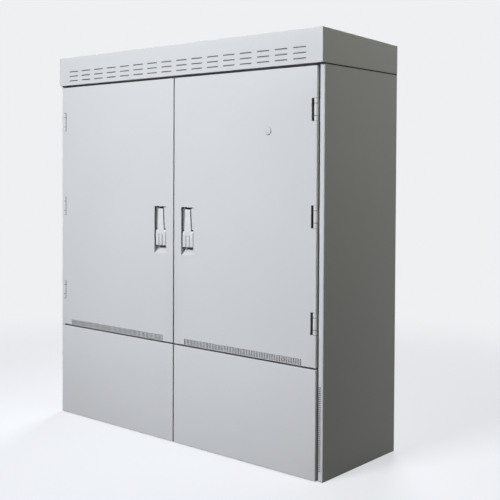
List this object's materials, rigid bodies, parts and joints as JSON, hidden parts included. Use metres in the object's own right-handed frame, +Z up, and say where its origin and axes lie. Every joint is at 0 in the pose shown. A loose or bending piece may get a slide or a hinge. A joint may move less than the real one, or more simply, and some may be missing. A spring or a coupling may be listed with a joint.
{
  "type": "roadside utility cabinet",
  "caption": "Free-standing grey sheet-metal street cabinet with hinged doors, flush flap levers that drive locking rods, base panels and a ventilated hood sloping to the rear.",
  "frame": {"origin": "middle of the footprint, on the ground", "axes": "+Z up, -Y towards the doors, +X to the right seen from the front"},
  "size_m": [1.475, 0.51, 1.6259],
  "materials": {
    "paint": "fine textured powder paint",
    "zinc": "galvanised sheet",
    "steel": "zinc plated",
    "hinge_metal": "satin paint",
    "rubber": "matt foam rubber",
    "lever_metal": "satin painted casting",
    "dish_plastic": "satin moulding",
    "guide_plastic": "matt",
    "copper": "bare bar"
  },
  "bodies": {
    "frame": {"left_side_panel": "paint", "right_side_panel": "paint", "rear_panel": "paint", "roof_hood": "paint", "top_rail": "paint", "middle_rail": "paint", "centre_post": "paint", "base_post": "paint", "left_base_panel": "paint", "right_base_panel": "paint", "base_frame": "zinc", "rear_screws": "zinc", "floor_plate": "zinc", "roof_deck": "zinc", "roof_vent_collars": "zinc", "left_mounting_rail": "zinc", "right_mounting_rail": "zinc", "mounting_plate": "zinc", "cable_clamp_rail": "zinc", "left_hinge_pins": "steel", "right_hinge_pins": "steel", "left_hinge_frame_leaves": "hinge_metal", "right_hinge_frame_leaves": "hinge_metal", "cable_grommets": "rubber", "hood_seals": "rubber", "earth_bar": "copper"},
    "left_door": {"left_door": "paint", "left_door_gasket": "rubber", "left_door_stiffeners": "zinc", "left_hinge_door_leaves": "hinge_metal", "left_handle_dish": "dish_plastic", "left_lock_case": "steel", "left_rod_guides": "guide_plastic"},
    "left_lever": {"left_lever": "lever_metal", "left_lever_shaft": "steel", "left_pinion": "steel"},
    "left_upper_rod": {"left_upper_rod": "steel"},
    "left_lower_rod": {"left_lower_rod": "steel"},
    "right_door": {"right_door": "paint", "right_door_gasket": "rubber", "right_door_stiffeners": "zinc", "right_hinge_door_leaves": "hinge_metal", "right_handle_dish": "dish_plastic", "right_lock_case": "steel", "right_rod_guides": "guide_plastic", "door_plug": "dish_plastic"},
    "right_lever": {"right_lever": "lever_metal", "right_lever_shaft": "steel", "right_pinion": "steel"},
    "right_upper_rod": {"right_upper_rod": "steel"},
    "right_lower_rod": {"right_lower_rod": "steel"}
  },
  "joints": [
    {"name": "left_door_hinge", "type": "hinge", "parent": "frame", "child": "left_door", "pos_m": [-0.705, -0.2448, 0.951], "axis": [0, 0, -1], "range_deg": [0, 115]},
    {"name": "left_lever_fold", "type": "hinge", "parent": "left_door", "child": "left_lever", "pos_m": [-0.0775, -0.2358, 0.946], "axis": [-1, 0, 0], "range_deg": [0, 75]},
    {"name": "left_upper_rod_slide", "type": "slide", "parent": "left_door", "child": "left_upper_rod", "axis": [0, 0, -1], "range_m": [0, 0.0118]},
    {"name": "left_lower_rod_slide", "type": "slide", "parent": "left_door", "child": "left_lower_rod", "axis": [0, 0, 1], "range_m": [0, 0.0118]},
    {"name": "right_door_hinge", "type": "hinge", "parent": "frame", "child": "right_door", "pos_m": [0.705, -0.2448, 0.951], "axis": [0, 0, 1], "range_deg": [0, 115]},
    {"name": "right_lever_fold", "type": "hinge", "parent": "right_door", "child": "right_lever", "pos_m": [0.0775, -0.2358, 0.946], "axis": [-1, 0, 0], "range_deg": [0, 75]},
    {"name": "right_upper_rod_slide", "type": "slide", "parent": "right_door", "child": "right_upper_rod", "axis": [0, 0, -1], "range_m": [0, 0.0118]},
    {"name": "right_lower_rod_slide", "type": "slide", "parent": "right_door", "child": "right_lower_rod", "axis": [0, 0, 1], "range_m": [0, 0.0118]}
  ],
  "couplings": [
    {"joint": "left_upper_rod_slide", "follows": "left_lever_fold", "m_per_rad": 0.009},
    {"joint": "left_lower_rod_slide", "follows": "left_lever_fold", "m_per_rad": 0.009},
    {"joint": "right_upper_rod_slide", "follows": "right_lever_fold", "m_per_rad": 0.009},
    {"joint": "right_lower_rod_slide", "follows": "right_lever_fold", "m_per_rad": 0.009}
  ]
}
